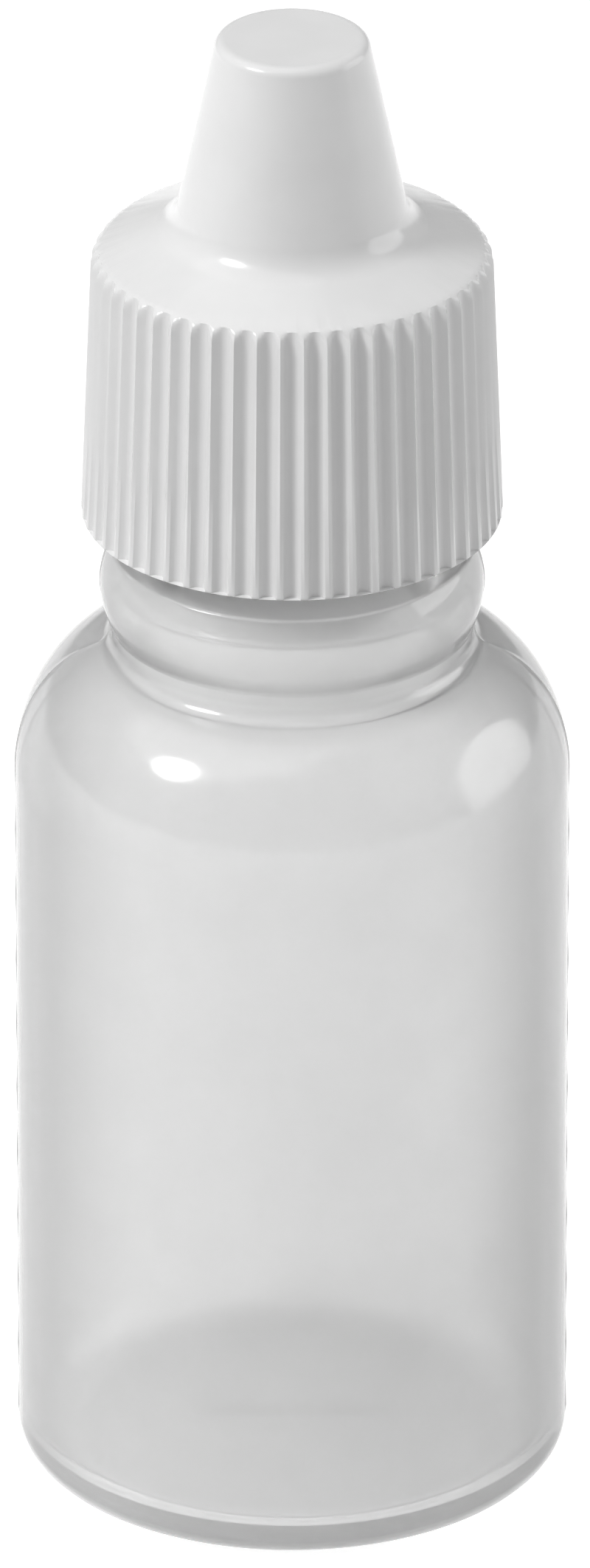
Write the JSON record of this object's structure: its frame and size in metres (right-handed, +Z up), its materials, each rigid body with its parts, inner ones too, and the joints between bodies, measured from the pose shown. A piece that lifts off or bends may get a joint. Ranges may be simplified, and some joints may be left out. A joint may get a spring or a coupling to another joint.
{
  "type": "dropper bottle",
  "caption": "Small round squeeze bottle with a press-in dropper tip and a tall ribbed screw cap that covers the tip.",
  "frame": {"origin": "centre of the base, on the surface that the bottle stands on", "axes": "+Z up along the bottle's axis, from the base to the top of the cap; X and Y are free, because the bottle is round, and the neck thread starts at +X"},
  "size_m": [0.025, 0.025, 0.0703],
  "materials": {
    "natural_polyethylene": "milky translucent, satin",
    "white_polypropylene": "white, half gloss"
  },
  "bodies": {
    "bottle": {"bottle": "natural_polyethylene"},
    "dropper_tip": {"dropper_tip": "natural_polyethylene"},
    "screw_cap": {"screw_cap": "white_polypropylene"}
  },
  "joints": [
    {"name": "cap_turn", "type": "hinge", "parent": "bottle", "child": "dropper_tip", "pos_m": [0, 0, 0], "axis": [0, 0, 1], "range_deg": [0, 3780]},
    {"name": "cap_lift", "type": "slide", "parent": "dropper_tip", "child": "screw_cap", "axis": [0, 0, 1], "range_m": [0, 0.02206]}
  ],
  "couplings": [
    {"joint": "cap_lift", "follows": "cap_turn", "m_per_rad": 0.00033423}
  ]
}
